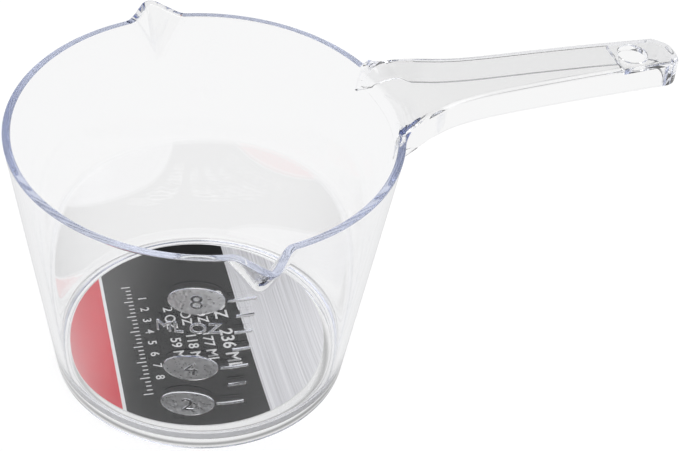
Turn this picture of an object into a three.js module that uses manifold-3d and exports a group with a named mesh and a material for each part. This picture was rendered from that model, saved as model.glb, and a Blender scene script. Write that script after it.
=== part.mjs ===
// A one-cup measuring cup in clear plastic: a tapered round cup with two pouring
// spouts, a long channelled handle with a hang hole, and a round paper label
// on the inside of the floor. Millimetres, +Z up. The cup's axis is the Z axis,
// the handle points along +X, the spouts along +Y and -Y, and z = 0 is the flat
// underside of the floor, inside the low foot ring.
import * as THREE from 'three';
import { ConvexGeometry } from 'three/addons/geometries/ConvexGeometry.js';
import { mergeVertices } from 'three/addons/utils/BufferGeometryUtils.js';
import Module from 'manifold-3d';

const wasm = await Module();
wasm.setup();

// Cup wall and floor
const rimRadius = 45.5;
const baseRadius = 35.7;
const rimHeight = 66.9;
const wallThickness = 1.8;
const floorThickness = 1.8;
const floorFillet = 2.0;
const baseCorner = 0.8;
const footHeight = 1.5;
const footWidth = 2.2;

// Spouts
const spoutReach = 6.8;
const spoutHalfWidth = 6.5;
const spoutTipRadius = 2.4;
const spoutDepth = 11.0;

// Handle
const handleLength = 118.6;
const handleDepth = 6.0;
const handleEndHalf = 6.2;
const handleTaper = 0.026;
const handleFlare = 7.5;
const handleFlareRun = 8.8;
const handleRise = 2.2;
const handleRiseRun = 22;
const plateThickness = 1.8;
const sideWall = 1.7;
const hangHoleRadius = 3.6;
const hangHoleFromEnd = 11.8;
const hangBossWall = 1.6;

// Raised measuring marks
const cupMillilitres = 236.6;
const ouncesPerCup = 8;
const markHeight = 0.4;
const ovalWidth = 12.2;
const ovalHeight = 8.6;
const ovalOffset = 13.7;
const tickThickness = 0.7;
const longTick = 6.2;
const shortTick = 4.0;
const tickRightEdge = 0.9;

// Label on the floor
const labelMargin = 0.9;
const labelThickness = 0.2;
const labelShiftX = -0.3;
const labelShiftY = 0.3;

// Fineness of round shapes, and the distance at which corners count as one
const roundSteps = 96;
const handleSteps = 22;
const handleEndSteps = 20;
const holeSteps = 32;
const ovalSteps = 16;
const tipSteps = 8;
const cornerSteps = 3;
const filletSteps = 5;
const mergeDistance = 1e-4;

// The wall is a cone: its radius at a height, and the slope of its side
const wallSlope = (rimRadius - baseRadius) / (rimHeight + footHeight);
const wallAcross = wallThickness * Math.hypot(1, wallSlope);
const outerRadiusAt = (z) => baseRadius + wallSlope * (z + footHeight);
const innerRadiusAt = (z) => outerRadiusAt(z) - wallAcross;
const wallLean = Math.atan(wallSlope);
const overshoot = 5;

// Manifold solid of a closed geometry, with only its shared corners kept
function toSolid(geometry) {
  const bare = geometry.clone();
  bare.deleteAttribute('normal');
  bare.deleteAttribute('uv');
  const merged = mergeVertices(bare, mergeDistance);
  const index = merged.getIndex().array;
  const triangles = [];
  for (let i = 0; i < index.length; i += 3) {
    const [a, b, c] = [index[i], index[i + 1], index[i + 2]];
    if (a !== b && b !== c && c !== a) triangles.push(a, b, c);
  }
  const mesh = new wasm.Mesh({
    numProp: 3,
    vertProperties: new Float32Array(merged.getAttribute('position').array),
    triVerts: new Uint32Array(triangles),
  });
  return new wasm.Manifold(mesh);
}

// Geometry of a finished solid
function toGeometry(solid) {
  const mesh = solid.getMesh();
  const geometry = new THREE.BufferGeometry();
  const corners = new Float32Array(mesh.vertProperties);
  geometry.setAttribute('position', new THREE.BufferAttribute(corners, 3));
  geometry.setIndex(new THREE.BufferAttribute(new Uint32Array(mesh.triVerts), 1));
  geometry.computeVertexNormals();
  return geometry;
}

// Solid of revolution about Z from [radius, height] pairs that start and end on the axis
function revolve(profile) {
  const points = profile.map(([r, z]) => new THREE.Vector2(r, z));
  return toSolid(new THREE.LatheGeometry(points, roundSteps).rotateX(Math.PI / 2));
}

// Quarter-like round corner as [radius, height] pairs about a centre
function cornerArc(centreR, centreZ, radius, from, to, steps) {
  const pairs = [];
  for (let i = 0; i <= steps; i += 1) {
    const angle = from + ((to - from) * i) / steps;
    pairs.push([centreR + radius * Math.cos(angle), centreZ + radius * Math.sin(angle)]);
  }
  return pairs;
}

function roundBar(radius, bottom, top, x, steps) {
  const bar = new THREE.CylinderGeometry(radius, radius, top - bottom, steps).rotateX(Math.PI / 2);
  return toSolid(bar.translate(x, 0, (top + bottom) / 2));
}

// Outside of the cup, filled, standing on its foot
function cupOutside() {
  const centreZ = baseCorner - footHeight;
  const centreR = outerRadiusAt(centreZ) - baseCorner / Math.cos(wallLean);
  const corner = cornerArc(centreR, centreZ, baseCorner, -Math.PI / 2, -wallLean, cornerSteps);
  return revolve([[0, -footHeight], ...corner, [rimRadius, rimHeight], [0, rimHeight]]);
}

// Radius of the flat part of the floor, where the fillet up to the wall begins
const filletTop = floorThickness + floorFillet;
const flatFloorRadius = innerRadiusAt(filletTop) - floorFillet / Math.cos(wallLean);

// Inside of the cup, filled and run on above the rim
function cupInside() {
  const fillet = cornerArc(flatFloorRadius, filletTop, floorFillet, -Math.PI / 2, -wallLean, filletSteps);
  const top = rimHeight + overshoot;
  return revolve([[0, floorThickness], ...fillet, [innerRadiusAt(top), top], [0, top]]);
}

function footRecess() {
  return roundBar(baseRadius - footWidth, -footHeight - overshoot, 0, 0, roundSteps);
}

// Points of a half circle that closes the spout's tip, at one height
function tipArc(centreY, radius, z, side) {
  const points = [];
  for (let i = 0; i <= tipSteps; i += 1) {
    const angle = (Math.PI * i) / tipSteps;
    const y = centreY + radius * Math.sin(angle);
    points.push(new THREE.Vector3(radius * Math.cos(angle), side * y, z));
  }
  return points;
}

// A spout's outside: a rounded V at the rim that runs down into the wall
function spoutOutside(side) {
  const rootY = Math.sqrt(rimRadius ** 2 - spoutHalfWidth ** 2) - wallThickness / 4;
  const foot = rimHeight - spoutDepth;
  const tipY = rimRadius + spoutReach - spoutTipRadius;
  const points = [
    ...tipArc(tipY, spoutTipRadius, rimHeight, side),
    new THREE.Vector3(spoutHalfWidth, side * rootY, rimHeight),
    new THREE.Vector3(-spoutHalfWidth, side * rootY, rimHeight),
    new THREE.Vector3(0, side * (outerRadiusAt(foot) - wallThickness / 4), foot),
  ];
  return toSolid(new ConvexGeometry(points));
}

// The pouring groove inside a spout, one wall thickness in from its outside
function spoutInside(side) {
  const tipY = rimRadius + spoutReach - spoutTipRadius;
  const tipRadius = spoutTipRadius - wallThickness;
  const foot = rimHeight - spoutDepth + wallThickness;
  const backY = innerRadiusAt(foot) - wallThickness;
  const rootY = Math.sqrt(rimRadius ** 2 - spoutHalfWidth ** 2);
  // The side line leaves the root, touches the outer tip circle, and moves in by one wall
  const run = Math.hypot(spoutHalfWidth, tipY - rootY);
  const lean = Math.atan2(spoutHalfWidth, tipY - rootY) - Math.asin(spoutTipRadius / run);
  const backHalf = tipRadius / Math.cos(lean) + (tipY - backY) * Math.tan(lean);
  const points = [new THREE.Vector3(0, side * (innerRadiusAt(foot) - wallThickness / 4), foot)];
  for (const z of [rimHeight, rimHeight + overshoot]) {
    points.push(...tipArc(tipY, tipRadius, z, side));
    points.push(new THREE.Vector3(backHalf, side * backY, z));
    points.push(new THREE.Vector3(-backHalf, side * backY, z));
  }
  return toSolid(new ConvexGeometry(points));
}

// Half the handle's width at a distance from the cup's axis: a straight taper that flares at the cup
const handleEndCentre = handleLength - handleEndHalf;
const handleStart = rimRadius - 2 * wallThickness;
function handleHalfAt(x) {
  const flare = handleFlare * Math.exp((rimRadius - wallThickness - x) / handleFlareRun);
  return handleEndHalf + handleTaper * (handleEndCentre - x) + flare;
}

// Top of the handle: level with the rim at the cup, then raised by a gentle step
function handleTopAt(x) {
  const rise = THREE.MathUtils.smoothstep(x, rimRadius, rimRadius + handleRiseRun);
  return rimHeight + handleRise * rise;
}

// How fast the half width changes along the handle
function handleLeanAt(x) {
  const flare = (handleFlare / handleFlareRun) * Math.exp((rimRadius - wallThickness - x) / handleFlareRun);
  return -handleTaper - flare;
}

// The handle's outline from above, drawn in from its outer edge by an inset.
// Its points lie closer together where it flares at the cup.
const stepCrowding = 1.5;
function handlePlan(inset) {
  const side = [];
  for (let i = 0; i < handleSteps; i += 1) {
    const x = handleStart + (handleEndCentre - handleStart) * (i / handleSteps) ** stepCrowding;
    side.push([x, handleHalfAt(x) - inset * Math.hypot(1, handleLeanAt(x))]);
  }
  const shape = new THREE.Shape();
  shape.moveTo(side[0][0], -side[0][1]);
  side.slice(1).forEach(([x, half]) => shape.lineTo(x, -half));
  const ring = handleEndHalf - inset;
  shape.absarc(handleEndCentre, 0, ring, -Math.PI / 2, Math.PI / 2, false);
  side.reverse().forEach(([x, half]) => shape.lineTo(x, half));
  shape.closePath();
  const height = handleDepth + handleRise + 4 * overshoot;
  const options = { depth: height, bevelEnabled: false, curveSegments: handleEndSteps };
  return toSolid(new THREE.ExtrudeGeometry(shape, options).translate(0, 0, rimHeight - height / 2));
}

// A band along the handle, seen from the side, between two depths below its top
function handleBand(upper, lower) {
  const shape = new THREE.Shape();
  const from = handleStart - overshoot;
  const to = handleLength + overshoot;
  const xs = Array.from({ length: handleSteps + 1 }, (_, i) => from + ((to - from) * i) / handleSteps);
  shape.moveTo(from, handleTopAt(from) - lower);
  xs.slice(1).forEach((x) => shape.lineTo(x, handleTopAt(x) - lower));
  xs.reverse().forEach((x) => shape.lineTo(x, handleTopAt(x) - upper));
  shape.closePath();
  const width = 2 * handleHalfAt(handleStart) + 2 * overshoot;
  const band = new THREE.ExtrudeGeometry(shape, { depth: width, bevelEnabled: false });
  return toSolid(band.rotateX(Math.PI / 2).translate(0, width / 2, 0));
}

const hangHoleX = handleLength - hangHoleFromEnd;

function handleOutside() {
  return handlePlan(0).intersect(handleBand(0, handleDepth));
}

// The channel under the top plate, which goes round the boss of the hang hole
function handleChannel() {
  const low = rimHeight - handleDepth - overshoot;
  const boss = roundBar(hangHoleRadius + hangBossWall, low, rimHeight + overshoot, hangHoleX, holeSteps);
  const channel = handlePlan(sideWall).intersect(handleBand(plateThickness, handleDepth + overshoot));
  return channel.subtract(boss).subtract(cupOutside());
}

function hangHole() {
  const low = rimHeight - handleDepth - overshoot;
  return roundBar(hangHoleRadius, low, rimHeight + handleRise + overshoot, hangHoleX, holeSteps);
}

// Height at which the cup holds a number of fluid ounces, from the volume of a cone
function fillHeight(ounces) {
  const volume = (1000 * cupMillilitres * ounces) / ouncesPerCup;
  const floorRadius = innerRadiusAt(floorThickness);
  const surfaceRadius = Math.cbrt(floorRadius ** 3 + (3 * wallSlope * volume) / Math.PI);
  return floorThickness + (surfaceRadius - floorRadius) / wallSlope;
}

// A flat outline set on the wall on the -Y side, pushed out from inside the cup
const markRoot = 4.5;
const markRun = 7.2;
function onWall(shape, across, height) {
  const radius = outerRadiusAt(height);
  const azimuth = -Math.PI / 2 + across / radius;
  const outward = new THREE.Vector3(Math.cos(azimuth), Math.sin(azimuth), 0);
  const up = new THREE.Vector3(0, 0, 1);
  const right = new THREE.Vector3().crossVectors(up, outward);
  const start = outward.clone().multiplyScalar(radius - markRoot).setZ(height);
  const place = new THREE.Matrix4().makeBasis(right, up, outward).setPosition(start);
  const options = { depth: markRun, bevelEnabled: false, curveSegments: ovalSteps };
  return toSolid(new THREE.ExtrudeGeometry(shape, options).applyMatrix4(place));
}

function ovalShape() {
  const shape = new THREE.Shape();
  shape.absellipse(0, 0, ovalWidth / 2, ovalHeight / 2, 0, 2 * Math.PI, false, 0);
  return shape;
}

function tickShape(length) {
  const half = tickThickness / 2;
  const corners = [[0, -half], [length, -half], [length, half], [0, half]];
  return new THREE.Shape(corners.map(([x, y]) => new THREE.Vector2(x, y)));
}

// Three ovals for the numbers and a tick for each ounce from 2 to 8, all one mark height proud
function measuringMarks() {
  const marks = [];
  for (let ounces = 2; ounces <= ouncesPerCup; ounces += 1) {
    const height = fillHeight(ounces);
    const numbered = Math.log2(ounces) % 1 === 0;
    const length = numbered ? longTick : shortTick;
    marks.push(onWall(tickShape(length), -tickRightEdge - length, height));
    if (numbered) marks.push(onWall(ovalShape(), -ovalOffset, height));
  }
  const proud = revolve([
    [0, 0], [outerRadiusAt(0) + markHeight, 0], [rimRadius + markHeight, rimHeight], [0, rimHeight],
  ]);
  return marks.reduce((all, mark) => all.add(mark)).intersect(proud);
}

function cupBody() {
  const spouts = spoutOutside(1).add(spoutOutside(-1));
  const outside = cupOutside().add(spouts).add(handleOutside()).add(measuringMarks());
  const hollow = cupInside().add(spoutInside(1)).add(spoutInside(-1));
  return outside.subtract(hollow).subtract(footRecess()).subtract(handleChannel()).subtract(hangHole());
}

function floorLabel() {
  const labelRadius = flatFloorRadius - labelMargin;
  const label = new THREE.CylinderGeometry(labelRadius, labelRadius, labelThickness, roundSteps);
  return label.rotateX(Math.PI / 2).translate(0, 0, labelThickness / 2);
}

const clearPlastic = new THREE.MeshStandardMaterial({ color: 0xe9eaf4, roughness: 0.08, metalness: 0 });
clearPlastic.transparent = true;
clearPlastic.opacity = 0.35;
const printedPaper = new THREE.MeshStandardMaterial({ color: 0x3a3a3d, roughness: 0.45, metalness: 0 });

const cup = new THREE.Mesh(toGeometry(cupBody()), clearPlastic);
cup.name = 'cup_body';

const label = new THREE.Mesh(floorLabel(), printedPaper);
label.name = 'floor_label';
label.position.set(labelShiftX, labelShiftY, floorThickness);

const measuringCup = new THREE.Group();
measuringCup.add(cup, label);

export default measuringCup;
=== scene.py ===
import math

import bmesh
import bpy
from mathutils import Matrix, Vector


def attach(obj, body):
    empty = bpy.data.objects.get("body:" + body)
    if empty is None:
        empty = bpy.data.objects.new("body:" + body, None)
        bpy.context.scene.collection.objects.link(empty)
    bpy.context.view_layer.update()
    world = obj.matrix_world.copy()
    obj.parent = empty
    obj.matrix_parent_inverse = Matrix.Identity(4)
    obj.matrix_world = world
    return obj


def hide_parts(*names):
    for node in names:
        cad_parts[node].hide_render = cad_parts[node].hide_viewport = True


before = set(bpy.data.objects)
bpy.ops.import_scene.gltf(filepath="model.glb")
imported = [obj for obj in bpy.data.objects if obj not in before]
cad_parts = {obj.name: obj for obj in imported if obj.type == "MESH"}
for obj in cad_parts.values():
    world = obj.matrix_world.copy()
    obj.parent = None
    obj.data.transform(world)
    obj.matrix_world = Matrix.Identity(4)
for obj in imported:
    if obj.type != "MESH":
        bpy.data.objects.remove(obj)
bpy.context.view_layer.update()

mm = 0.001
weld = 1e-6  # metres: points nearer than this are merged
smoothAngle = math.radians(32)
scene = bpy.context.scene


# The photograph's view, with the handle along +X and the spouts along Y
shot = {
    "place": (-93.84, -314.73, 319.41),  # mm
    "turn": (49.471, -3.877, -18.886),  # degrees
    "sensorWidth": 36.0,
    "focalPixels": 1828.0,  # focal length in pixels of the 679 pixel wide picture
    "pictureWidth": 679,
    "near": 0.01,  # metres
    "far": 20,
}


def makeCamera():
    bpy.ops.object.camera_add(
        location=[v * mm for v in shot["place"]],
        rotation=[math.radians(v) for v in shot["turn"]],
    )
    camera = bpy.context.object
    camera.name = "photoCamera"
    camera.data.sensor_fit = "HORIZONTAL"
    camera.data.sensor_width = shot["sensorWidth"]
    camera.data.lens = shot["focalPixels"] * shot["sensorWidth"] / shot["pictureWidth"]
    camera.data.clip_start = shot["near"]
    camera.data.clip_end = shot["far"]
    scene.camera = camera


makeCamera()
print("camera placed")


# The cup, in mm. Z is up, and the foot ring stands on the table at -footHeight.
cup = {
    "rimRadius": 45.5,
    "baseRadius": 35.7,
    "rimHeight": 66.9,
    "wall": 1.8,
    "floor": 3.4,  # height of the floor's top
    "underside": 1.6,  # and of its underside
    "floorFillet": 2.0,
    "baseCorner": 0.8,
    "footHeight": 1.5,
    "footWidth": 2.2,
    "footRound": 0.35,
    "rimRound": 0.3,
    "columns": 480,
    "spoutCrowding": 0.2,  # how much closer together the columns stand at the spouts
    "handleCrowding": 0.8,  # and at the handle
    "firstRow": 0.6,  # below the rim
    "fineRow": 0.45,  # height of the rows beside the handle
    "fineRows": 13,
    "spoutRow": 0.6,  # and of those under them, beside the spouts
    "spoutRows": 12,
    "plainRows": 8,
    "rowGap": 0.5,  # from the last row to the floor's fillet, and from the fillet to the flat floor
    "cornerGap": 0.4,  # from the base corner to the lowest row outside
    "floorRings": (0, 10, 20),
    "underRings": (0, 10, 20, 29),
    "footSteps": 4,
    "cornerSteps": 6,
    "rimSteps": 4,
    "filletSteps": 8,
}
slope = (cup["rimRadius"] - cup["baseRadius"]) / (cup["rimHeight"] + cup["footHeight"])
lean = math.atan(slope)


def outerRadius(z):
    return cup["baseRadius"] + slope * (z + cup["footHeight"])


def innerRadius(z):
    return outerRadius(z) - cup["wall"] * math.hypot(1, slope)


def smooth(t):
    t = min(max(t, 0.0), 1.0)
    return t * t * (3 - 2 * t)


def onlySelect(obj):
    bpy.ops.object.select_all(action="DESELECT")
    obj.select_set(True)
    bpy.context.view_layer.objects.active = obj


def startEditing(obj, kind="VERT"):
    onlySelect(obj)
    bpy.ops.object.mode_set(mode="EDIT")
    bpy.ops.mesh.select_mode(type=kind)
    bpy.ops.mesh.select_all(action="DESELECT")
    return bmesh.from_edit_mesh(obj.data)


def stopEditing():
    bpy.ops.object.mode_set(mode="OBJECT")


def mergeSeams(obj):
    startEditing(obj)
    bpy.ops.mesh.select_all(action="SELECT")
    bpy.ops.mesh.remove_doubles(threshold=weld)
    bpy.ops.mesh.normals_make_consistent(inside=False)
    stopEditing()


def applyBoolean(obj, other, operation):
    onlySelect(obj)
    cut = obj.modifiers.new(operation.lower(), "BOOLEAN")
    cut.operation = operation
    cut.solver = "EXACT"
    cut.object = other
    bpy.ops.object.modifier_apply(modifier=cut.name)
    bpy.data.objects.remove(other)


def arc(centreR, centreZ, radius, start, end, steps):
    points = []
    for i in range(steps + 1):
        a = math.radians(start + (end - start) * i / steps)
        points.append((centreR + radius * math.cos(a), centreZ + radius * math.sin(a)))
    return points


def wallDepths():
    fine = [cup["firstRow"] + cup["fineRow"] * i for i in range(cup["fineRows"])]
    spout = [fine[-1] + cup["spoutRow"] * (i + 1) for i in range(cup["spoutRows"])]
    last = cup["rimHeight"] - cup["floor"] - cup["floorFillet"] - cup["rowGap"]
    plainRow = (last - spout[-1]) / cup["plainRows"]
    return fine + spout + [spout[-1] + plainRow * (i + 1) for i in range(cup["plainRows"])]


# Half section of the cup as [radius, height], from the middle of the underside round to the floor
def cupProfile():
    leanAngle = math.degrees(lean)
    rim, rimRound, footRound = cup["rimHeight"], cup["rimRound"], cup["footRound"]
    rimSteps, footSteps = cup["rimSteps"], cup["footSteps"]
    ringInside = cup["baseRadius"] - cup["footWidth"]
    under = cup["underside"]
    points = [(r, under) for r in (*cup["underRings"], ringInside - 2 * footRound)]
    points += arc(ringInside - footRound, under - footRound, footRound, 90, 0, footSteps)
    points += arc(ringInside + footRound, footRound - cup["footHeight"], footRound, 180, 270, footSteps)
    cornerZ = cup["baseCorner"] - cup["footHeight"]
    cornerR = outerRadius(cornerZ) - cup["baseCorner"] / math.cos(lean)
    points += arc(cornerR, cornerZ, cup["baseCorner"], -90, -leanAngle, cup["cornerSteps"])
    lowestZ = cornerZ + cup["cornerGap"]
    points.append((outerRadius(lowestZ), lowestZ))
    depths = wallDepths()
    points += [(outerRadius(rim - d), rim - d) for d in reversed(depths)]
    roundZ = rim - rimRound
    roundR = rimRound / math.cos(lean)
    points += arc(outerRadius(roundZ) - roundR, roundZ, rimRound, -leanAngle, 90, rimSteps)
    points += arc(innerRadius(roundZ) + roundR, roundZ, rimRound, 90, 180 - leanAngle, rimSteps)
    points += [(innerRadius(rim - d), rim - d) for d in depths]
    filletZ = cup["floor"] + cup["floorFillet"]
    filletR = innerRadius(filletZ) - cup["floorFillet"] / math.cos(lean)
    points += arc(filletR, filletZ, cup["floorFillet"], -leanAngle, -90, cup["filletSteps"])
    points += [(r, cup["floor"]) for r in (filletR - cup["rowGap"], *reversed(cup["floorRings"]))]
    return points


def spinCup():
    profile = cupProfile()
    bpy.ops.mesh.primitive_circle_add(vertices=len(profile), radius=cup["rimRadius"] * mm)
    body = bpy.context.object
    body.name = "clear_cup"
    # the circle's points are laid on the half section, and the edge that runs up the axis goes
    for vertex, (r, z) in zip(body.data.vertices, profile):
        vertex.co = (r * mm, 0, z * mm)
    mesh = startEditing(body, "EDGE")
    for edge in mesh.edges:
        edge.select = all(v.co.x < weld for v in edge.verts)
    bpy.ops.mesh.delete(type="EDGE_FACE")
    stopEditing()
    turn = body.modifiers.new("turn", "SCREW")
    turn.axis = "Z"
    turn.steps = turn.render_steps = cup["columns"]
    turn.use_merge_vertices = True
    turn.merge_threshold = weld
    bpy.ops.object.modifier_apply(modifier=turn.name)
    mergeSeams(body)
    for v in body.data.vertices:
        r = math.hypot(v.co.x, v.co.y)
        a = math.atan2(v.co.y, v.co.x)
        a += cup["spoutCrowding"] * math.sin(2 * a) - cup["handleCrowding"] * math.sin(a)
        v.co.x, v.co.y = r * math.cos(a), r * math.sin(a)
    return body


# The pouring spouts: a V in plan with a round tip, which fades out down the wall
spout = {
    "reach": 6.8,
    "halfWidth": 6.5,
    "tipRadius": 2.4,
    "fadedTip": 0.4,  # share of the tip's radius that is left where the spout has faded out
    "leastInside": 0.6,  # least radius of the tip's inside
    "depth": 11.5,
    "rootBlend": 1.3,
    "overrun": 0.2,  # how far past its end a spout still blends in, as a share of its depth
    "nearWidth": 3,  # points within this many half widths are looked at
}


def spoutLean():
    rootY = math.sqrt(cup["rimRadius"] ** 2 - spout["halfWidth"] ** 2)
    back = cup["rimRadius"] + spout["reach"] - spout["tipRadius"] - rootY
    across = math.hypot(spout["halfWidth"], back)
    return math.acos(spout["tipRadius"] / across) - math.atan2(back, spout["halfWidth"])


# Distance from the cup's axis of a V with a round tip, at a place across it
def veeAt(x, apex, tipRadius, beta):
    x = abs(x)
    if x < tipRadius * math.cos(beta):
        return apex - tipRadius / math.sin(beta) + math.sqrt(tipRadius**2 - x * x)
    return apex - x / math.tan(beta)


def smoothMax(a, b, width):
    h = min(max(0.5 + 0.5 * (a - b) / width, 0.0), 1.0)
    return b + (a - b) * h + width * h * (1 - h)


def shapeSpouts(body):
    beta = spoutLean()
    apexReach = spout["reach"] + spout["tipRadius"] * (1 / math.sin(beta) - 1)
    for v in body.data.vertices:
        x, y, z = (n / mm for n in v.co)
        share = 1 - (cup["rimHeight"] - z) / spout["depth"]
        if share < -spout["overrun"] or abs(x) > spout["nearWidth"] * spout["halfWidth"]:
            continue
        r = math.hypot(x, y)
        outer, inner = outerRadius(z), innerRadius(z)
        across, back = x / r, abs(y) / r
        apex = outer + share * apexReach
        tip = spout["tipRadius"] * (spout["fadedTip"] + (1 - spout["fadedTip"]) * max(share, 0))
        inTip = max(tip - cup["wall"], spout["leastInside"])
        outY = smoothMax(outer * back, veeAt(outer * across, apex, tip, beta), spout["rootBlend"])
        inApex = apex - cup["wall"] / math.sin(beta)
        inY = smoothMax(inner * back, veeAt(inner * across, inApex, inTip, beta), spout["rootBlend"])
        newY = inY + (outY - inY) * (r - inner) / (outer - inner)
        v.co.y = math.copysign(newY, y) * mm


# The handle: a flared bar that stands a little above the rim, hollow from below
handle = {
    "length": 118.6,
    "depth": 7.2,
    "endHalf": 5.3,
    "endSquare": 2.5,  # 2 is a half circle, and more is squarer
    "taper": 0.046,  # of its half width, per mm of its length
    "flare": 4.2,
    "flareRun": 12.8,
    "step": 2.1,  # how far its top stands above the rim at the wall
    "stepFrom": 17.9,  # degrees from the handle's middle
    "stepTo": 16.5,
    "stepDeep": 0.3,  # the wall is lifted whole down to this far under the handle
    "stepFade": 14.0,  # and the lift fades out over this much more
    "rise": 0.85,
    "riseRun": 11,
    "sag": 0.00045,  # how its top curves down past sagFrom
    "sagFrom": 75,
    "bend": 4.0,  # radius with which the inside of the cup bends over into the plate
    "bendFrom": 17.3,
    "bendTo": 15.6,
    "bendSlack": 0.05,  # how far off the wall's surface a point may lie and still belong to it
    "plate": 0.85,
    "sideWall": 0.8,
    "endWall": 2.2,
    "topRound": 0.5,
    "endRound": 1.8,  # the same at the very end
    "endRoundSpread": 1.6,  # more keeps it longer round the end
    "lowRound": 0.3,
    "topRoundRows": 8,
    "lowRoundRows": 3,
    "bendRun": 4.5,  # how far from the wall the sections are still bent round the cup
    "patchAngle": 18.7,  # the faces it is pulled from, in degrees from its middle
    "patchDepth": 0.7,  # and how deep in the wall they may lie
    "firstSection": 0.5,  # how far the first section is from the wall
    "sectionGrowth": 1.12,  # and how the distances grow
    "longestSection": 2.5,
    "lastStraight": 100.0,
}
handleEnd = handle["length"] - handle["endHalf"]


def handleHalf(x):
    out = (x - cup["rimRadius"] + cup["wall"]) / handle["flareRun"]
    return handle["endHalf"] + handle["taper"] * (handleEnd - x) + handle["flare"] * math.exp(-out * out)


def handleLean(x):
    out = (x - cup["rimRadius"] + cup["wall"]) / handle["flareRun"]
    return -handle["taper"] - 2 * out / handle["flareRun"] * handle["flare"] * math.exp(-out * out)


def handleTop(x):
    rise = handle["rise"] * smooth((x - cup["rimRadius"]) / handle["riseRun"])
    return cup["rimHeight"] + handle["step"] + rise - handle["sag"] * max(x - handle["sagFrom"], 0) ** 2


# A place on the handle's squarish end, for a turn from its middle
def endPlace(turn, radius):
    power = 2 / handle["endSquare"]
    out = radius * max(math.cos(turn), 0) ** power
    return handleEnd + out, math.copysign(radius * abs(math.sin(turn)) ** power, turn)


# Lifts the rim to the height of the handle's top where the handle stands
def liftRoot(body):
    plainHeight = body.data.attributes.new("plainHeight", "FLOAT", "POINT")
    for i, v in enumerate(body.data.vertices):
        x, y, z = (n / mm for n in v.co)
        plainHeight.data[i].value = z
        a = abs(math.degrees(math.atan2(y, x)))
        share = smooth((handle["stepFrom"] - a) / (handle["stepFrom"] - handle["stepTo"]))
        below = cup["rimHeight"] - z - handle["depth"] - handle["stepDeep"]
        lift = handle["step"] * share * smooth(1 - below / handle["stepFade"])
        wider = 1 + slope * lift / max(math.hypot(x, y), 1)
        v.co = Vector((x * wider, y * wider, z + lift)) * mm


# Bends the top of the cup's inside over into the handle's plate
def bendRoot(body):
    for v in body.data.vertices:
        x, y, z = (n / mm for n in v.co)
        a = abs(math.degrees(math.atan2(y, x)))
        share = smooth((handle["bendFrom"] - a) / (handle["bendFrom"] - handle["bendTo"]))
        if share == 0:
            continue
        bend = cup["rimRound"] + (handle["bend"] - cup["rimRound"]) * share
        r = math.hypot(x, y)
        top = handleTop(max(x, cup["rimRadius"]))
        step = smooth((handle["stepFrom"] - a) / (handle["stepFrom"] - handle["stepTo"]))
        rimTop = cup["rimHeight"] + handle["step"] * step
        rimInside = innerRadius(rimTop)
        if r < outerRadius(z) + 2 * handle["bendSlack"]:
            top = rimTop
        down = top - z
        out = r - rimInside + slope * down
        deepest = bend if out < handle["bendSlack"] else cup["rimRound"] + handle["bendSlack"]
        if down > deepest or out > bend:
            continue
        turn = math.pi / 2 * (bend - down + out) / (2 * bend)
        newDown = bend * (1 - math.sin(turn))
        newR = rimInside - slope * newDown + bend * (1 - math.cos(turn))
        v.co = Vector((x * newR / r, y * newR / r, top - newDown)) * mm


# How far a row of the handle's side lies in from its widest and down from its top
def handleRow(row, rows, topRound):
    top, low = handle["topRoundRows"], handle["lowRoundRows"]
    if row <= top:
        a = math.pi / 2 * row / top
        return topRound * (1 - math.sin(a)), topRound * (1 - math.cos(a))
    if row >= rows - low:
        a = math.pi / 2 * (row - rows + low) / low
        drop = handle["depth"] - handle["lowRound"] * (1 - math.sin(a))
        return handle["lowRound"] * (1 - math.cos(a)), drop
    share = (row - top) / (rows - low - top)
    return 0, topRound + (handle["depth"] - handle["lowRound"] - topRound) * share


# Distances of the handle's sections from the rim
def handleStations():
    stations = []
    x = step = handle["firstSection"]
    while cup["rimRadius"] + x < handle["lastStraight"]:
        stations.append(x)
        step = min(step * handle["sectionGrowth"], handle["longestSection"])
        x += step
    return stations


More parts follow.
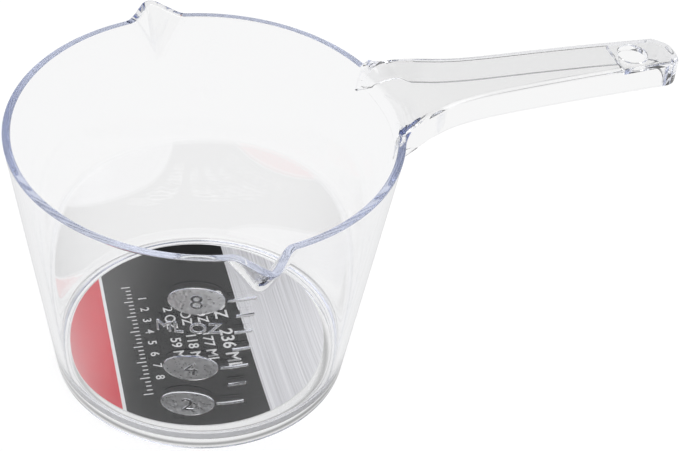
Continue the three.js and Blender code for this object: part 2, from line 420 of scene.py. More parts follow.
# Pulls the handle out of the wall's outside, section by section
def pullHandle(body):
    mesh = startEditing(body, "FACE")
    rowOf = mesh.verts.layers.int.new("row")
    columnOf = mesh.verts.layers.int.new("column")
    heightOf = mesh.verts.layers.float["plainHeight"]
    flatEdge = outerRadius(cup["rimHeight"]) - cup["rimRound"] / math.cos(lean)
    lowest = cup["rimHeight"] - handle["depth"]
    corners = set()
    for face in mesh.faces:
        x, y = (n / mm for n in face.calc_center_median()[:2])
        z = sum(v[heightOf] for v in face.verts) / len(face.verts)
        beside = x > 0 and abs(math.degrees(math.atan2(y, x))) < handle["patchAngle"]
        leastR = min(flatEdge, outerRadius(z) - handle["patchDepth"])
        outside = face.normal.x > 0 and math.hypot(x, y) > leastR
        face.select = beside and outside and z > lowest
        if face.select:
            corners.update(face.verts)
    heights = sorted({round(v[heightOf], 3) for v in corners}, reverse=True)
    angles = sorted({round(math.degrees(math.atan2(v.co.y, v.co.x)), 2) for v in corners})
    wallPoint = {}
    for v in corners:
        v[rowOf] = heights.index(round(v[heightOf], 3))
        v[columnOf] = angles.index(round(math.degrees(math.atan2(v.co.y, v.co.x)), 2))
        wallPoint[v[columnOf], v[rowOf]] = v.co / mm
    rows, columns = len(heights) - 1, len(angles) - 1
    wallHalf = wallPoint[columns, rows - handle["lowRoundRows"]].y
    for station in handleStations() + [None]:
        bpy.ops.mesh.extrude_region_move()
        mesh = bmesh.from_edit_mesh(body.data)
        rowOf = mesh.verts.layers.int["row"]
        columnOf = mesh.verts.layers.int["column"]
        for v in mesh.verts:
            if not v.select:
                continue
            row, column = v[rowOf], v[columnOf]
            wall = wallPoint[column, row]
            inset, drop = handleRow(row, rows, handle["topRound"])
            across = wall.y / wallPoint[columns, row].y
            if station is None:  # the end
                turn = math.pi / 2 * (2 * column / columns - 1)
                share = smooth(handle["endRoundSpread"] * math.cos(turn))
                more = (handle["endRound"] - handle["topRound"]) * share
                inset, drop = handleRow(row, rows, handle["topRound"] + more)
                x, y = endPlace(turn, handle["endHalf"] - inset)
                v.co = Vector((x, y, handleTop(x) - drop)) * mm
                continue
            bent = min(station / handle["bendRun"], 1)
            x = wall.x + (cup["rimRadius"] + station - wall.x) * bent
            half = handleHalf(x) - inset
            y = across * (wallHalf + (half - wallHalf) * bent)
            z = wall.z + (handleTop(x) - drop - wall.z) * bent
            v.co = Vector((x, y, z)) * mm
        bmesh.update_edit_mesh(body.data)
    stopEditing()


# The hang hole near the handle's end, with rounded mouths, in a thicker stretch of the plate
hangHole = {
    "radius": 3.5,
    "fromEnd": 11.8,
    "mouthRound": 0.5,
    "mouthSteps": 4,
    "padFrom": 102.2,  # where the plate gets thicker, up to the handle's end
    "padDepth": 1.8,
    "steps": 96,
    "beyond": 5.0,  # how far the cutter stands out above and below
}
hangHoleX = handle["length"] - hangHole["fromEnd"]


def holeCutter():
    top, bottom = handleTop(hangHoleX), handleTop(hangHoleX) - hangHole["padDepth"]
    mouth, radius = hangHole["mouthRound"], hangHole["radius"]
    quarter = [math.pi / 2 * i / hangHole["mouthSteps"] for i in range(hangHole["mouthSteps"] + 1)]
    rings = [(radius + mouth, bottom - hangHole["beyond"])]
    rings += [(radius + mouth * (1 - math.sin(a)), bottom + mouth * (1 - math.cos(a))) for a in quarter]
    rings += [(radius + mouth * (1 - math.cos(a)), top - mouth * (1 - math.sin(a))) for a in quarter]
    rings.append((radius + mouth, top + hangHole["beyond"]))
    bpy.ops.mesh.primitive_circle_add(
        vertices=hangHole["steps"], radius=rings[0][0] * mm, fill_type="NGON",
        location=(hangHoleX * mm, 0, rings[0][1] * mm),
    )
    cutter = bpy.context.object
    bpy.ops.object.transform_apply(location=True)
    startEditing(cutter, "FACE")
    bpy.ops.mesh.select_all(action="SELECT")
    for (lastR, lastZ), (r, z) in zip(rings, rings[1:]):
        bpy.ops.mesh.extrude_region_move(TRANSFORM_OT_translate={"value": (0, 0, (z - lastZ) * mm)})
        middle = (hangHoleX * mm, 0, z * mm)
        bpy.ops.transform.resize(value=(r / lastR, r / lastR, 1), center_override=middle)
    stopEditing()
    mergeSeams(cutter)
    return cutter


# The channel under the handle's plate, with rounded corners under the roof
channel = {
    "round": 0.4,
    "rootRound": 4.0,
    "skin": 0.04,  # left on the cup's wall
    "levels": 12,
    "columns": 24,
    "drop": 14.0,  # how far down the cutter reaches
    "bendRun": 9.0,  # how far from the wall its sections are still bent round the cup
    "solveRounds": 30,
}


# How far a rounded corner stands in from its wall at a depth below the roof
def roundInset(radius, depth):
    rest = max(radius - depth, 0)
    return radius - math.sqrt(radius * radius - rest * rest)


def channelCutter():
    stations = [0] + handleStations()[1:]
    bpy.ops.mesh.primitive_grid_add(
        x_subdivisions=len(stations), y_subdivisions=channel["columns"], size=2
    )
    cutter = bpy.context.object
    mesh = startEditing(cutter, "FACE")
    placeOf = mesh.verts.layers.int.new("place")
    shareOf = mesh.verts.layers.float.new("share")
    for v in mesh.verts:
        v[placeOf] = round((v.co.x + 1) / 2 * len(stations))
        v[shareOf] = v.co.y
    drops = [channel["rootRound"] * (i / channel["levels"]) ** 2 for i in range(channel["levels"] + 1)]
    bpy.ops.mesh.select_all(action="SELECT")
    for level, drop in enumerate(drops + [channel["drop"]]):
        if level:
            bpy.ops.mesh.extrude_region_move()
        side = handle["sideWall"] + roundInset(channel["round"], drop)
        drop += handle["plate"]
        wallRadius = outerRadius(cup["rimHeight"] + handle["step"] - drop) + channel["skin"]
        wallRadius += roundInset(channel["rootRound"], drop - handle["plate"])
        # where the channel's side meets the cup's wall
        wallHalf = handleHalf(cup["rimRadius"])
        for _ in range(channel["solveRounds"]):
            x = math.sqrt(wallRadius**2 - wallHalf**2)
            wallHalf = handleHalf(x) - side * math.hypot(1, handleLean(x))
        mesh = bmesh.from_edit_mesh(cutter.data)
        placeOf = mesh.verts.layers.int["place"]
        shareOf = mesh.verts.layers.float["share"]
        for v in mesh.verts:
            if not v.select:
                continue
            share = v[shareOf]
            if v[placeOf] == len(stations):
                turn = math.pi / 2 * share
                x, y = endPlace(turn, handle["endHalf"] - side)
                x -= handle["endWall"] - handle["sideWall"]
            else:
                station = stations[v[placeOf]]
                bent = min(station / channel["bendRun"], 1)
                wallX = math.sqrt(wallRadius**2 - (share * wallHalf) ** 2)
                x = wallX + (cup["rimRadius"] + channel["bendRun"] - wallX) * bent
                x += max(station - channel["bendRun"], 0)
                half = handleHalf(x) - side * math.hypot(1, handleLean(x))
                middleHalf = wallHalf + (half - wallHalf) * bent
                y = share * (middleHalf if bent < 1 else half)
            v.co = Vector((x, y, handleTop(x) - drop)) * mm
        bmesh.update_edit_mesh(cutter.data)
    stopEditing()
    mergeSeams(cutter)
    # nothing is cut from the thicker stretch of the plate
    padBottom = handleTop(hangHoleX) - hangHole["padDepth"]
    bpy.ops.mesh.primitive_cube_add(size=2 * channel["drop"] * mm)
    pad = bpy.context.object
    pad.location = Vector((hangHole["padFrom"] + channel["drop"], 0, padBottom + channel["drop"])) * mm
    bpy.ops.object.transform_apply(location=True)
    applyBoolean(cutter, pad, "DIFFERENCE")
    return cutter


# Raised marks on the wall on the -Y side, below the spout
marks = {
    "millilitres": 236.6,
    "ounces": 8,
    "numbered": (2, 4, 8),
    "zero": 1.8,  # height that the volumes count from
    "proud": 0.3,
    "digitProud": 0.42,
    "root": 0.8,  # how deep a mark starts inside the wall
    "ovalWidth": 12.2,
    "ovalHeight": 8.6,
    "ovalOffset": -13.7,
    "ovalSteps": 64,
    "ovalInsets": 5,
    "ovalInset": 0.17,  # of its radius
    "tick": 0.7,
    "longTick": 6.2,
    "shortTick": 4.0,
    "tickRight": -0.9,
    "tickParts": 8,
    "digitSize": 6.2,
    "letterSize": 4.9,
    "unitHeight": 44.4,
    "unitPlaces": {"ML": -18.9, "OZ": -11.2},
}


def fillHeight(ounces):
    volume = 1000 * marks["millilitres"] * ounces / marks["ounces"]
    bottom = innerRadius(marks["zero"])
    surface = (bottom**3 + 3 * slope * volume / math.pi) ** (1 / 3)
    return marks["zero"] + (surface - bottom) / slope


# Lays a flat mark on the wall: x runs round the cup, y up the wall and z out of it
def wrapOnWall(obj, across, height):
    middle = outerRadius(height)
    for v in obj.data.vertices:
        z = height + v.co.y / mm
        a = -math.pi / 2 + (across + v.co.x / mm) / middle
        r = outerRadius(z) + v.co.z / mm * math.cos(lean)
        v.co = Vector((r * math.cos(a), r * math.sin(a), z - v.co.z / mm * math.sin(lean))) * mm


# Extrudes a flat mark from inside the wall to a height above it, and writes how frosted its face is
def thickenMark(obj, proud, frosted):
    obj.data.attributes.new("frost", "FLOAT", "FACE")
    startEditing(obj, "FACE")
    bpy.ops.mesh.select_all(action="SELECT")
    bpy.ops.transform.translate(value=(0, 0, -marks["root"] * mm))
    bpy.ops.mesh.extrude_region_move(TRANSFORM_OT_translate={"value": (0, 0, (proud + marks["root"]) * mm)})
    mesh = bmesh.from_edit_mesh(obj.data)
    frostOf = mesh.faces.layers.float["frost"]
    for face in mesh.faces:
        if face.select:
            face[frostOf] = frosted
    bpy.ops.mesh.select_all(action="SELECT")
    bpy.ops.mesh.normals_make_consistent(inside=False)
    stopEditing()


letterSteps = 6  # in each curve of a letter's outline


def textMesh(body, size, weight):
    bpy.ops.object.text_add()
    text = bpy.context.object
    text.data.body = body
    text.data.size = size * mm
    text.data.align_x = "CENTER"
    text.data.align_y = "CENTER"
    text.data.offset = weight * mm
    text.data.resolution_u = letterSteps
    onlySelect(text)
    bpy.ops.object.convert(target="MESH")
    text.data.materials.clear()
    startEditing(text)
    bpy.ops.mesh.select_all(action="SELECT")
    bpy.ops.mesh.remove_doubles(threshold=weld)
    stopEditing()
    middle = sum((Vector(c) for c in text.bound_box), Vector()) / 8
    for v in text.data.vertices:
        v.co -= middle
    return text


def ovalMark():
    bpy.ops.mesh.primitive_circle_add(vertices=marks["ovalSteps"], radius=1, fill_type="NGON")
    oval = bpy.context.object
    startEditing(oval, "FACE")
    for _ in range(marks["ovalInsets"]):
        bpy.ops.mesh.select_all(action="DESELECT")
        mesh = bmesh.from_edit_mesh(oval.data)
        middle = min(mesh.faces, key=lambda face: face.calc_center_median().length)
        middle.select = True
        bpy.ops.mesh.inset(thickness=marks["ovalInset"])
    bpy.ops.mesh.poke()
    stopEditing()
    for v in oval.data.vertices:
        v.co.x *= marks["ovalWidth"] / 2 * mm
        v.co.y *= marks["ovalHeight"] / 2 * mm
    return oval


def tickMark(length):
    bpy.ops.mesh.primitive_grid_add(x_subdivisions=marks["tickParts"], y_subdivisions=1, size=1)
    tick = bpy.context.object
    for v in tick.data.vertices:
        v.co.x *= length * mm
        v.co.y *= marks["tick"] * mm
    return tick


def joinAll(pieces):
    bpy.ops.object.select_all(action="DESELECT")
    for piece in pieces:
        piece.select_set(True)
    bpy.context.view_layer.objects.active = pieces[0]
    bpy.ops.object.join()
    return bpy.context.object


def raiseMarks(body):
    body.data.attributes.new("frost", "FLOAT", "FACE")
    raised, digits = [], []
    for ounces in range(2, marks["ounces"] + 1):
        height = fillHeight(ounces)
        numbered = ounces in marks["numbered"]
        length = marks["longTick"] if numbered else marks["shortTick"]
        tick = tickMark(length)
        thickenMark(tick, marks["proud"], 1)
        wrapOnWall(tick, marks["tickRight"] - length / 2, height)
        raised.append(tick)
        if numbered:
            oval = ovalMark()
            thickenMark(oval, marks["proud"], 1)
            wrapOnWall(oval, marks["ovalOffset"], height)
            raised.append(oval)
            digit = textMesh(str(ounces), marks["digitSize"], 0)
            thickenMark(digit, marks["digitProud"], 0)
            wrapOnWall(digit, marks["ovalOffset"], height)
            digits.append(digit)
    for unit, across in marks["unitPlaces"].items():
        letters = textMesh(unit, marks["letterSize"], 0)
        thickenMark(letters, marks["proud"], 1)
        wrapOnWall(letters, across, marks["unitHeight"])
        raised.append(letters)
    for group in (raised, digits):
        applyBoolean(body, joinAll(group), "UNION")


def nodeMaterial(name):
    material = bpy.data.materials.new(name)
    material.use_nodes = True
    return material, material.node_tree, material.node_tree.nodes["Principled BSDF"]


def linkNodes(tree, *pairs):
    for source, target in pairs:
        tree.links.new(source, target)


def noiseNode(tree, place, scale, detail):
    noise = tree.nodes.new("ShaderNodeTexNoise")
    noise.inputs["Scale"].default_value = scale
    noise.inputs["Detail"].default_value = detail
    tree.links.new(place, noise.inputs["Vector"])
    return noise.outputs["Fac"]


# Turns one range of values into another, in a straight line or eased at both ends
def rangeNode(tree, value, source, target, eased=False):
    node = tree.nodes.new("ShaderNodeMapRange")
    node.interpolation_type = "SMOOTHSTEP" if eased else "LINEAR"
    node.inputs["From Min"].default_value, node.inputs["From Max"].default_value = source
    node.inputs["To Min"].default_value, node.inputs["To Max"].default_value = target
    tree.links.new(value, node.inputs["Value"])
    return node.outputs["Result"]


def bumpSkin(tree, skin, height, distance, strength):
    bump = tree.nodes.new("ShaderNodeBump")
    bump.inputs["Distance"].default_value = distance * mm
    bump.inputs["Strength"].default_value = strength
    linkNodes(tree, (height, bump.inputs["Height"]), (bump.outputs["Normal"], skin.inputs["Normal"]))


# Clear moulded styrene: a faint lavender in its depth, a very slight unevenness of its skin, and
# frosted faces on the raised marks
clear = {
    "ior": 1.57,
    "depthColor": (0.10, 0.265, 0.80, 1),
    "density": 4.0,  # per metre
    "shadow": (0.93, 0.93, 0.935, 1),
    "grainSpread": (0.3, 0.7),  # of the noise, which the gloss follows
    "grainDetail": 3,
    "polish": {
        "rough": (0.0, 0.0),
        "grainScale": 90,
        "bumpDistance": 0.02,
        "bumpStrength": 0.05,
    },
    "frost": {
        "rough": (0.24, 0.60),
        "grainScale": 1700,
        "bumpDistance": 0.03,
        "bumpStrength": 0.6,
    },
}


# Sets a plastic skin's values, and its uneven gloss and grain
def finishSkin(tree, skin, place, surface):
    skin.inputs["Base Color"].default_value = (1, 1, 1, 1)
    skin.inputs["IOR"].default_value = clear["ior"]
    skin.inputs["Transmission Weight"].default_value = 1
    grain = noiseNode(tree, place, surface["grainScale"], clear["grainDetail"])
    rough = rangeNode(tree, grain, clear["grainSpread"], surface["rough"])
    tree.links.new(rough, skin.inputs["Roughness"])
    bumpSkin(tree, skin, grain, surface["bumpDistance"], surface["bumpStrength"])


# Both finishes are in one material: light has to leave by the material that it came in by, or the
# plastic's absorption goes on in the air
def clearPlastic():
    material, tree, polished = nodeMaterial("clearStyrene")
    output = tree.nodes["Material Output"]
    frosted = tree.nodes.new("ShaderNodeBsdfPrincipled")
    place = tree.nodes.new("ShaderNodeTexCoord").outputs["Object"]
    finishSkin(tree, polished, place, clear["polish"])
    finishSkin(tree, frosted, place, clear["frost"])
    frost = tree.nodes.new("ShaderNodeAttribute")
    frost.attribute_name = "frost"
    skin = tree.nodes.new("ShaderNodeMixShader")
    path = tree.nodes.new("ShaderNodeLightPath")
    through = tree.nodes.new("ShaderNodeBsdfTransparent")
    through.inputs["Color"].default_value = clear["shadow"]
    mix = tree.nodes.new("ShaderNodeMixShader")
    depth = tree.nodes.new("ShaderNodeVolumeAbsorption")
    depth.inputs["Color"].default_value = clear["depthColor"]
    depth.inputs["Density"].default_value = clear["density"]
    linkNodes(
        tree,
        (frost.outputs["Fac"], skin.inputs[0]),
        (polished.outputs["BSDF"], skin.inputs[1]),
        (frosted.outputs["BSDF"], skin.inputs[2]),
        (path.outputs["Is Shadow Ray"], mix.inputs[0]),
        (skin.outputs["Shader"], mix.inputs[1]),
        (through.outputs["BSDF"], mix.inputs[2]),
        (mix.outputs["Shader"], output.inputs["Surface"]),
        (depth.outputs["Volume"], output.inputs["Volume"]),
    )
    return material


def makeCup():
    body = spinCup()
    body.data.materials.append(clearPlastic())
    print("cup spun:", len(body.data.vertices), "points")
    shapeSpouts(body)
    liftRoot(body)
    pullHandle(body)
    bendRoot(body)
    print("spouts and handle shaped")
    applyBoolean(body, channelCutter(), "DIFFERENCE")
    applyBoolean(body, holeCutter(), "DIFFERENCE")
    print("handle hollowed")
    raiseMarks(body)
    onlySelect(body)
    bpy.ops.object.shade_smooth_by_angle(angle=smoothAngle)
    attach(body, "root")
    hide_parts("cup_body")
    print("cup finished:", len(body.data.vertices), "points")


makeCup()


# The printed paper disc on the floor of the cup
label = {
    "radius": 31.72,
    "thickness": 0.2,
    "steps": 192,
    "edge": 0.08,  # a ring of narrow faces round the top
    "topFacing": 0.9,  # faces that look up at least this much carry the print
    "shift": (-0.8, 0.3),
    "seat": -0.05,  # glued down, so its underside lies in the floor's skin
    "bandTurn": -94.8,  # direction that the bands run in, in degrees from the handle
    "ruleAt": -22.1,
    "ruleWidth": 0.8,
    "silverAt": 10.9,
    "border": 0.12,
    "ink": (0.012, 0.012, 0.013, 1),
    "red": (0.71, 0.022, 0.045, 1),
    "white": (0.88, 0.88, 0.89, 1),
    "paperDark": (0.80, 0.80, 0.79, 1),
    "paintedSheenFar": 0.78,  # painted sheen: the foil is painted darker at the far end of its band and lighter at the near end, in place of its reflection
    "paintedSheenNear": 0.96,
    "paintedSheenReach": 26,
    "silverBlue": 1.04,  # the foil is a little bluer than grey
    "metal": 0.35,
    "streakScale": (2600, 14, 14),  # per metre, across the bands and along them
    "streakDetail": 4,
    "streakSpread": (0.3, 0.7),
    "streakTone": (0.75, 1.17),
    "mottleScale": 700,  # the ink is a little uneven, like a printed sheet
    "mottleDetail": 3,
    "rough": (0.34, 0.48),
    "gloss": 0.3,
    "bumpDistance": 0.02,
    "inkBump": 0.4,
    "fibreScale": 1500,
    "fibreDetail": 4,
    "fibreBump": 0.5,
    "bareRough": 0.8,
}


def printedPaper():
    material, tree, skin = nodeMaterial("printedPaper")
    place = tree.nodes.new("ShaderNodeTexCoord").outputs["Object"]
    turn = tree.nodes.new("ShaderNodeMapping")
    across = label["bandTurn"] + 90
    turn.inputs["Rotation"].default_value = (0, 0, -math.radians(across))
    parts = tree.nodes.new("ShaderNodeSeparateXYZ")
    linkNodes(tree, (place, turn.inputs["Vector"]), (turn.outputs["Vector"], parts.inputs["Vector"]))

    def mathNode(kind, first, second):
        node = tree.nodes.new("ShaderNodeMath")
        node.operation = kind
        for socket, value in zip(node.inputs, (first, second)):
            if isinstance(value, (int, float)):
                socket.default_value = value
            else:
                tree.links.new(value, socket)
        return node.outputs[0]

    def mixColor(factor, first, second):
        node = tree.nodes.new("ShaderNodeMix")
        node.data_type = "RGBA"
        tree.links.new(factor, node.inputs["Factor"])
        for socket, value in ((node.inputs[6], first), (node.inputs[7], second)):
            if isinstance(value, tuple):
                socket.default_value = value
            else:
                tree.links.new(value, socket)
        return node.outputs[2]

    x = parts.outputs["X"]
    afterRule = mathNode("GREATER_THAN", x, label["ruleAt"] * mm)
    fromRule = mathNode("ABSOLUTE", mathNode("SUBTRACT", x, label["ruleAt"] * mm), 0)
    onRule = mathNode("LESS_THAN", fromRule, label["ruleWidth"] / 2 * mm)
    onSilver = mathNode("GREATER_THAN", x, label["silverAt"] * mm)

    # long fine streaks along the bands
    stretch = tree.nodes.new("ShaderNodeMapping")
    stretch.inputs["Scale"].default_value = label["streakScale"]
    tree.links.new(turn.outputs["Vector"], stretch.inputs["Vector"])
    streak = noiseNode(tree, stretch.outputs["Vector"], 1, label["streakDetail"])
    streak = rangeNode(tree, streak, label["streakSpread"], label["streakTone"])
    # painted sheen: the foil's colour grows lighter from the far end of its band to the near end, in place
    # of a reflection, and the streaks are laid over it
    reach = label["paintedSheenReach"] * mm
    paintedSheen = rangeNode(tree, parts.outputs["Y"], (reach, -reach), (label["paintedSheenFar"], label["paintedSheenNear"]))
    silverAndPaintedSheen = tree.nodes.new("ShaderNodeCombineColor")
    shade = mathNode("MULTIPLY", paintedSheen, streak)
    linkNodes(
        tree,
        (shade, silverAndPaintedSheen.inputs["Red"]),
        (shade, silverAndPaintedSheen.inputs["Green"]),
        (mathNode("MULTIPLY", shade, label["silverBlue"]), silverAndPaintedSheen.inputs["Blue"]),
    )

    middle = tree.nodes.new("ShaderNodeVectorMath")
    middle.operation = "SUBTRACT"
    middle.inputs[1].default_value = (label["shift"][0] * mm, label["shift"][1] * mm, 0)
    tree.links.new(place, middle.inputs[0])
    flat = tree.nodes.new("ShaderNodeVectorMath")
    flat.operation = "MULTIPLY"
    flat.inputs[1].default_value = (1, 1, 0)
    tree.links.new(middle.outputs[0], flat.inputs[0])
    distance = tree.nodes.new("ShaderNodeVectorMath")
    distance.operation = "LENGTH"
    tree.links.new(flat.outputs[0], distance.inputs[0])
    onBorder = mathNode("GREATER_THAN", distance.outputs["Value"], (label["radius"] - label["border"]) * mm)

    bands = mixColor(afterRule, label["red"], label["ink"])
    bands = mixColor(onRule, bands, label["white"])
    bands = mixColor(onSilver, bands, silverAndPaintedSheen.outputs[0])
    bands = mixColor(onBorder, bands, label["white"])
    metal = mathNode("MULTIPLY", onSilver, mathNode("SUBTRACT", 1.0, onBorder))
    mottle = noiseNode(tree, place, label["mottleScale"], label["mottleDetail"])
    linkNodes(
        tree,
        (bands, skin.inputs["Base Color"]),
        (mathNode("MULTIPLY", metal, label["metal"]), skin.inputs["Metallic"]),
        (rangeNode(tree, mottle, (0, 1), label["rough"]), skin.inputs["Roughness"]),
    )
    bumpSkin(tree, skin, mottle, label["bumpDistance"], label["inkBump"])
    skin.inputs["Specular IOR Level"].default_value = label["gloss"]
    return material


# Colours a skin in two tones by a noise, and returns the noise
def mottledSkin(tree, skin, scale, detail, dark, light):
    place = tree.nodes.new("ShaderNodeTexCoord").outputs["Object"]
    noise = noiseNode(tree, place, scale, detail)
    tone = tree.nodes.new("ShaderNodeMix")
    tone.data_type = "RGBA"
    tone.inputs[6].default_value = dark
    tone.inputs[7].default_value = light
    linkNodes(tree, (noise, tone.inputs["Factor"]), (tone.outputs[2], skin.inputs["Base Color"]))
    return noise


# The label's white underside and edge, with the paper's fibres
def barePaper():
    material, tree, skin = nodeMaterial("barePaper")
    tones = label["paperDark"], label["white"]
    fibres = mottledSkin(tree, skin, label["fibreScale"], label["fibreDetail"], *tones)
    bumpSkin(tree, skin, fibres, label["bumpDistance"], label["fibreBump"])
    skin.inputs["Roughness"].default_value = label["bareRough"]
    return material


def makeLabel():
    bottom = cup["floor"] + label["seat"]
    top = cup["floor"] + label["thickness"]
    bpy.ops.mesh.primitive_circle_add(
        vertices=label["steps"], radius=label["radius"] * mm, fill_type="NGON",
        location=(label["shift"][0] * mm, label["shift"][1] * mm, bottom * mm),
    )
    paper = bpy.context.object
    paper.name = "paper_label"
    bpy.ops.object.transform_apply(location=True)
    startEditing(paper, "FACE")
    bpy.ops.mesh.select_all(action="SELECT")
    bpy.ops.mesh.extrude_region_move(TRANSFORM_OT_translate={"value": (0, 0, (top - bottom) * mm)})
    bpy.ops.mesh.inset(thickness=label["edge"] * mm)
    bpy.ops.mesh.select_all(action="SELECT")
    bpy.ops.mesh.normals_make_consistent(inside=False)
    stopEditing()
    bpy.ops.object.shade_smooth_by_angle(angle=smoothAngle)
    paper.data.materials.append(printedPaper())
    paper.data.materials.append(barePaper())
    for face in paper.data.polygons:
        face.material_index = 0 if face.normal.z > label["topFacing"] else 1
    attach(paper, "root")
    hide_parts("floor_label")
    print("label laid")


makeLabel()


# White print on the dark band: volumes as plain numbers with their units, and a rule with ticks
printRows = {
    "rows": (
        {"text": "8 OZ   236 ML", "size": 4.6, "at": 6.2, "weight": 0.08},
        {"text": "6 OZ   177 ML", "size": 3.6, "at": 1.4, "weight": 0.05},
        {"text": "4 OZ   118 ML", "size": 3.6, "at": -2.6, "weight": 0.05},
        {"text": "2 OZ   59 ML", "size": 3.6, "at": -6.6, "weight": 0.05},
        {"text": "1   2   3   4   5   6   7   8", "size": 3.0, "at": -12.4, "weight": 0.04},
    ),
    "scaleAt": -17.2,  # the ruled scale, beside the rule
    "scaleStep": 1.35,
    "scaleTicks": 29,
    "shortTick": 1.3,
    "longTick": 2.3,
    "longEvery": 4,
    "tickWidth": 0.3,
    "thickness": 0.02,
    "tones": ((0.78, 0.78, 0.79, 1), (0.88, 0.88, 0.89, 1)),
    "grainScale": 1800,
    "grainDetail": 2,
    "rough": 0.5,
}


def whiteInk():
    material, tree, skin = nodeMaterial("whiteInk")
    mottledSkin(tree, skin, printRows["grainScale"], printRows["grainDetail"], *printRows["tones"])
    skin.inputs["Roughness"].default_value = printRows["rough"]
    return material


def makePrint():
    turn = math.radians(label["bandTurn"])
    along = Vector((math.cos(turn), math.sin(turn), 0))
    across = Vector((-math.sin(turn), math.cos(turn), 0))
    top = (cup["floor"] + label["thickness"]) * mm
    pieces = []

    def lay(obj, alongPlace, acrossPlace):
        startEditing(obj, "FACE")
        bpy.ops.mesh.select_all(action="SELECT")
        bpy.ops.mesh.extrude_region_move(
            TRANSFORM_OT_translate={"value": (0, 0, 2 * printRows["thickness"] * mm)}
        )
        bpy.ops.mesh.select_all(action="SELECT")
        bpy.ops.mesh.normals_make_consistent(inside=False)
        stopEditing()
        for v in obj.data.vertices:
            p = along * (v.co.x + alongPlace * mm) + across * (v.co.y + acrossPlace * mm)
            v.co = (p.x, p.y, top + v.co.z - printRows["thickness"] * mm)
        pieces.append(obj)

    for row in printRows["rows"]:
        lay(textMesh(row["text"], row["size"], row["weight"]), 0, row["at"])
    for i in range(printRows["scaleTicks"]):
        longOne = i % printRows["longEvery"] == 0
        length = printRows["longTick"] if longOne else printRows["shortTick"]
        bpy.ops.mesh.primitive_plane_add(size=1)
        tick = bpy.context.object
        for v in tick.data.vertices:
            v.co.x *= printRows["tickWidth"] * mm
            v.co.y = (v.co.y - 0.5) * length * mm
        place = (i - (printRows["scaleTicks"] - 1) / 2) * printRows["scaleStep"]
        lay(tick, place, printRows["scaleAt"] + printRows["longTick"])
    ink = joinAll(pieces)
    ink.name = "label_print"
    ink.data.materials.clear()
    ink.data.materials.append(whiteInk())
    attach(ink, "root")
    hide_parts("floor_label")
    print("label printed")


makePrint()


# A white table, soft light from above, and a room that is white in front and dark behind
studio = {
    "tableSize": 3.0,
    "tableGap": 0.05,
    "tableColor": (0.50, 0.50, 0.50, 1),
    "tableGlow": 0.58,  # what the camera sees besides the lit table
    "tableThrough": 0.94,  # the table as it is seen through the plastic
    "labelShade": 0.35,  # and just below the label's edge, where a painted shadow darkens it
    "labelShadeWidth": 1.6,
    "tableMirrored": 0.76,  # and as it is seen in a reflection
    "darkSpot": (-8, -62),  # painted reflection: round this place the table is painted dark for reflections only, standing in for a black card out of the picture
    "darkSpotEdge": (34, 66),
    "darkSpotGlow": 0.0,
    "tableRough": 0.9,
    "roomForLight": 0.55,
    "rooms": (0.75, 0.10),  # in front, and behind
    "roomTurn": (-0.15, 0.30),  # how far back the front ends and the back begins
    "lampAim": (0, 0, 0.03),  # metres, as the lamps' places and sizes are
    "lamps": (
        {"name": "softboxAbove", "place": (-0.35, 0.15, 0.9), "size": 0.8, "power": 4.0},
        {"name": "softboxRight", "place": (0.8, -0.3, 0.6), "size": 0.6, "power": 1.6},
    ),
    "bounces": 80,
    "clearBounces": 72,  # enough for light that runs along inside the plastic
}


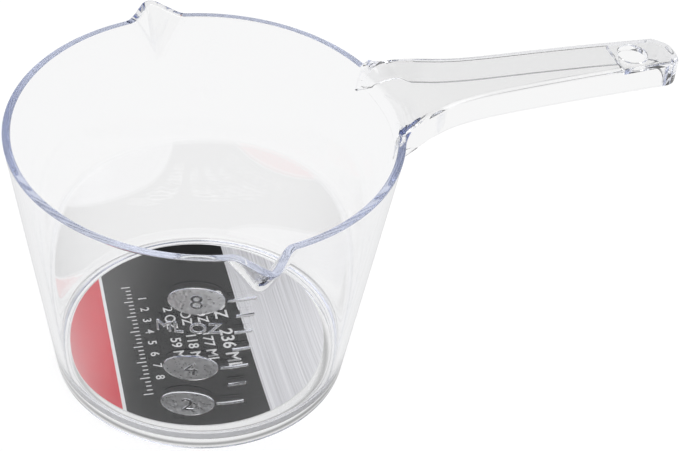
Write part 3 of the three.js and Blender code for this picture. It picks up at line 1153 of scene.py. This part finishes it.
def makeTable():
    bpy.ops.mesh.primitive_plane_add(
        size=studio["tableSize"], location=(0, 0, -(cup["footHeight"] + studio["tableGap"]) * mm)
    )
    table = bpy.context.object
    table.name = "table"
    bpy.ops.object.transform_apply(location=True)
    material, tree, skin = nodeMaterial("whiteTable")
    output = tree.nodes["Material Output"]
    skin.inputs["Base Color"].default_value = studio["tableColor"]
    skin.inputs["Roughness"].default_value = studio["tableRough"]
    skin.inputs["Specular IOR Level"].default_value = 0
    skin.inputs["Emission Color"].default_value = (1, 1, 1, 1)
    skin.inputs["Emission Strength"].default_value = studio["tableGlow"]
    path = tree.nodes.new("ShaderNodeLightPath")
    through = tree.nodes.new("ShaderNodeEmission")
    mirrored = tree.nodes.new("ShaderNodeEmission")
    place = tree.nodes.new("ShaderNodeTexCoord").outputs["Object"]
    # painted shadow: the table as seen through the plastic is darker in a ring under the label's edge
    fromAxis = tree.nodes.new("ShaderNodeVectorMath")
    fromAxis.operation = "LENGTH"
    fromEdge = tree.nodes.new("ShaderNodeMath")
    fromEdge.operation = "SUBTRACT"
    fromEdge.inputs[1].default_value = label["radius"] * mm
    eitherSide = tree.nodes.new("ShaderNodeMath")
    eitherSide.operation = "ABSOLUTE"
    shadeEdge = 0, studio["labelShadeWidth"] * mm
    shades = studio["labelShade"], studio["tableThrough"]
    shade = rangeNode(tree, eitherSide.outputs[0], shadeEdge, shades, eased=True)
    # painted reflection: reflections see the table dark round darkSpot, though no card stands there
    distance = tree.nodes.new("ShaderNodeVectorMath")
    distance.operation = "DISTANCE"
    distance.inputs[1].default_value = [v * mm for v in (*studio["darkSpot"], -cup["footHeight"])]
    darkReflectionEdge = [v * mm for v in studio["darkSpotEdge"]]
    darkReflectionGlow = studio["darkSpotGlow"], studio["tableMirrored"]
    darkReflection = rangeNode(tree, distance.outputs["Value"], darkReflectionEdge, darkReflectionGlow, eased=True)
    toMirrored = tree.nodes.new("ShaderNodeMixShader")
    toThrough = tree.nodes.new("ShaderNodeMixShader")
    linkNodes(
        tree,
        (place, fromAxis.inputs[0]),
        (fromAxis.outputs["Value"], fromEdge.inputs[0]),
        (fromEdge.outputs[0], eitherSide.inputs[0]),
        (shade, through.inputs["Strength"]),
        (place, distance.inputs[0]),
        (darkReflection, mirrored.inputs["Strength"]),
        (path.outputs["Is Glossy Ray"], toMirrored.inputs[0]),
        (skin.outputs["BSDF"], toMirrored.inputs[1]),
        (mirrored.outputs[0], toMirrored.inputs[2]),
        (path.outputs["Is Transmission Ray"], toThrough.inputs[0]),
        (toMirrored.outputs[0], toThrough.inputs[1]),
        (through.outputs[0], toThrough.inputs[2]),
        (toThrough.outputs[0], output.inputs["Surface"]),
    )
    table.data.materials.append(material)


def makeRoom():
    world = bpy.data.worlds.new("whiteRoom")
    scene.world = world
    world.use_nodes = True
    tree = world.node_tree
    tree.nodes.clear()
    output = tree.nodes.new("ShaderNodeOutputWorld")
    path = tree.nodes.new("ShaderNodeLightPath")
    place = tree.nodes.new("ShaderNodeTexCoord")
    parts = tree.nodes.new("ShaderNodeSeparateXYZ")
    behind = rangeNode(tree, parts.outputs["Y"], studio["roomTurn"], studio["rooms"], eased=True)
    reflected = tree.nodes.new("ShaderNodeBackground")
    plain = tree.nodes.new("ShaderNodeBackground")
    plain.inputs["Strength"].default_value = studio["roomForLight"]
    plain.inputs["Color"].default_value = (1, 1, 1, 1)
    white = tree.nodes.new("ShaderNodeBackground")
    white.inputs["Color"].default_value = (1, 1, 1, 1)
    white.inputs["Strength"].default_value = 1
    toDiffuse = tree.nodes.new("ShaderNodeMixShader")
    toCamera = tree.nodes.new("ShaderNodeMixShader")
    linkNodes(
        tree,
        (place.outputs["Generated"], parts.inputs["Vector"]),
        (behind, reflected.inputs["Strength"]),
        (path.outputs["Is Diffuse Ray"], toDiffuse.inputs[0]),
        (reflected.outputs[0], toDiffuse.inputs[1]),
        (plain.outputs[0], toDiffuse.inputs[2]),
        (path.outputs["Is Camera Ray"], toCamera.inputs[0]),
        (toDiffuse.outputs[0], toCamera.inputs[1]),
        (white.outputs[0], toCamera.inputs[2]),
        (toCamera.outputs[0], output.inputs["Surface"]),
    )


def makeLamps():
    for softbox in studio["lamps"]:
        bpy.ops.object.light_add(type="AREA", location=softbox["place"])
        lamp = bpy.context.object
        lamp.name = softbox["name"]
        lamp.data.shape = "SQUARE"
        lamp.data.size = softbox["size"]
        lamp.data.energy = softbox["power"]
        aim = Vector(studio["lampAim"]) - Vector(softbox["place"])
        lamp.rotation_euler = aim.to_track_quat("-Z", "Y").to_euler()


makeTable()
makeRoom()
makeLamps()
scene.view_settings.view_transform = "Standard"
scene.cycles.max_bounces = studio["bounces"]
scene.cycles.glossy_bounces = scene.cycles.transmission_bounces = studio["clearBounces"]
print("studio lit")
